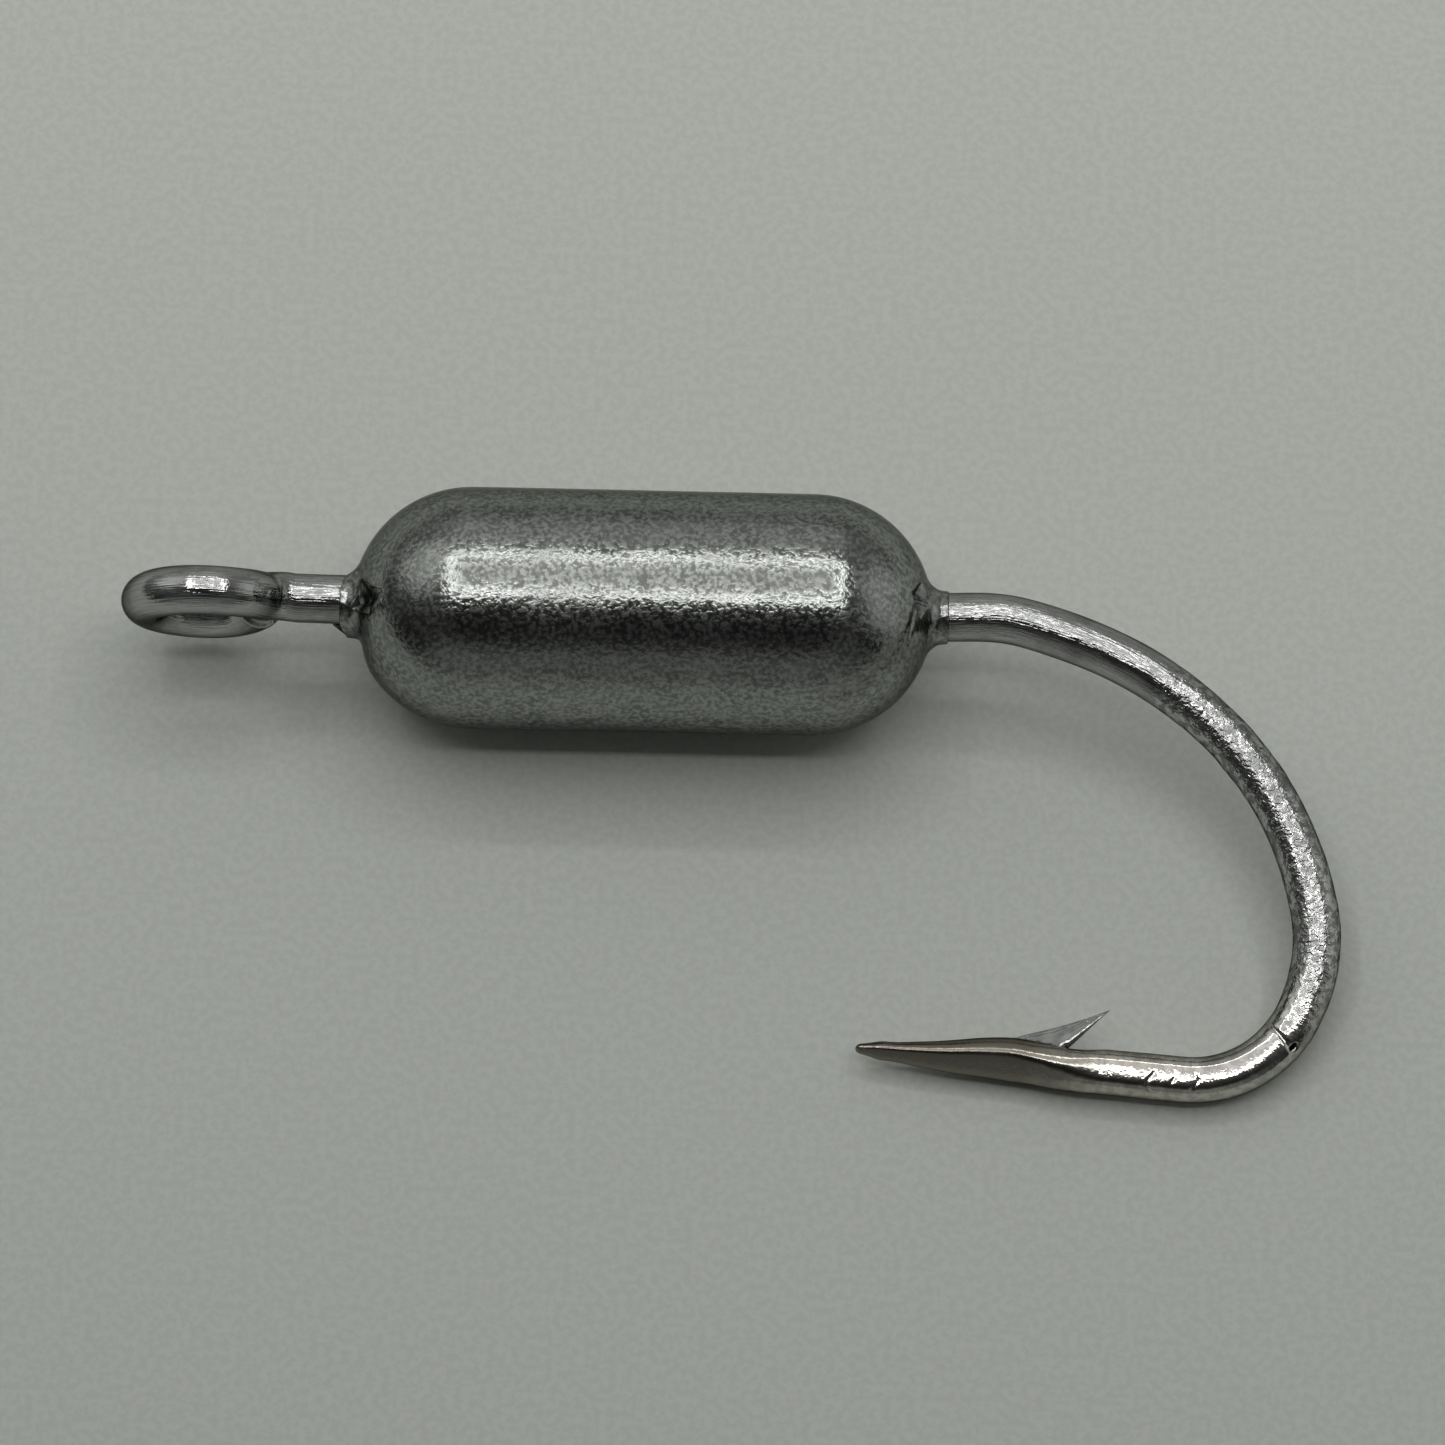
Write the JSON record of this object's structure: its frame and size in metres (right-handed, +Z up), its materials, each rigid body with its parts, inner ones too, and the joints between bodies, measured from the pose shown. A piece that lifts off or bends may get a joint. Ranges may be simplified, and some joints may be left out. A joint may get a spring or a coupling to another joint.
{
  "type": "jig head",
  "caption": "Capsule-shaped lead weight cast round the shank of a barbed hook, with a line eye standing square to the bend; it carries a soft lure and sinks it.",
  "frame": {"origin": "on the surface the head lies on, under the middle of the weight", "axes": "+X along the shank from the eye to the bend; the bend opens towards -Y; +Z up from the surface"},
  "size_m": [0.0367, 0.018, 0.0073],
  "materials": {
    "tinned_steel": "bright tinned wire, slightly rough, with small pits and scratches",
    "lead": "bare cast lead: dull grey satin with a soft mottled sheen"
  },
  "bodies": {
    "root": {"hook": "tinned_steel", "lead_body": "lead"}
  },
  "joints": []
}
